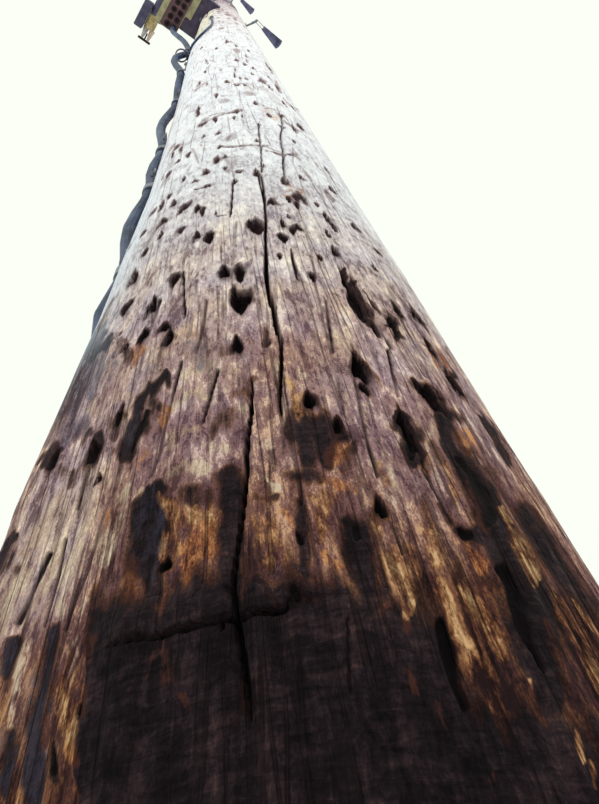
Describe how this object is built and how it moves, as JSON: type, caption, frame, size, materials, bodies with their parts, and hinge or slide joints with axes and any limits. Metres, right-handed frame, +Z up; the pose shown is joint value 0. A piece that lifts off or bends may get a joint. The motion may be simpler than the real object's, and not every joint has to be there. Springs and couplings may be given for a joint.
{
  "type": "utility pole",
  "caption": "Round wooden utility pole with a roofed top, clipped riser cable, ported terminal, strand clamp, splice closure and drop wire hooks.",
  "frame": {"origin": "middle of the pole where it meets the ground", "axes": "+Z up the pole; -Y faces the side seen in the picture; the terminal and the strand hardware face azimuth -50 degrees, between -Y and -X"},
  "size_m": [0.8002, 0.4888, 8.84],
  "materials": {
    "wood": "weathered, greyed, stained dark low down",
    "cable_sheath": "dull weathered sheath",
    "galvanised_steel": "dull zinc",
    "terminal_shell": "dull grey-olive",
    "bracket_paint": "dark, shaded",
    "port_plate": "matte dark brown",
    "rubber": "matte",
    "drop_clamp_plastic": "matte",
    "closure_plastic": "matte",
    "collar_plastic": "matte ribbed",
    "cone_plastic": "matte",
    "small_cone_plastic": "matte"
  },
  "bodies": {
    "root": {"pole_shaft": "wood", "riser_cable": "cable_sheath", "riser_clip_01": "galvanised_steel", "riser_clip_02": "galvanised_steel", "riser_clip_03": "galvanised_steel", "riser_clip_04": "galvanised_steel", "riser_clip_05": "galvanised_steel", "riser_clip_06": "galvanised_steel", "riser_clip_07": "galvanised_steel", "riser_clip_08": "galvanised_steel", "riser_clip_09": "galvanised_steel", "riser_clip_10": "galvanised_steel", "riser_clip_11": "galvanised_steel", "riser_standoff": "bracket_paint", "riser_gland": "rubber", "bond_wire": "cable_sheath", "bond_eye": "galvanised_steel", "terminal_bracket": "bracket_paint", "bracket_lags": "galvanised_steel", "terminal_rail": "terminal_shell", "terminal_housing": "terminal_shell", "terminal_cover": "terminal_shell", "terminal_latches": "galvanised_steel", "terminal_port_plate": "port_plate", "port_grommets": "rubber", "strand_arm": "galvanised_steel", "strand_arm_bolt": "galvanised_steel", "strand_arm_nut": "galvanised_steel", "strand_clamp_inner": "galvanised_steel", "strand_clamp_outer": "galvanised_steel", "strand_clamp_bolts": "galvanised_steel", "pole_band": "galvanised_steel", "drop_hook_1": "galvanised_steel", "drop_hook_2": "galvanised_steel", "drop_bail_1": "galvanised_steel", "drop_bail_2": "galvanised_steel", "drop_clamp_1": "drop_clamp_plastic", "drop_clamp_2": "drop_clamp_plastic", "closure_hanger": "galvanised_steel", "closure_body": "closure_plastic", "closure_collar": "collar_plastic", "closure_cone": "cone_plastic", "closure_cone_small": "small_cone_plastic", "closure_tee": "rubber", "side_box": "closure_plastic"}
  },
  "joints": []
}
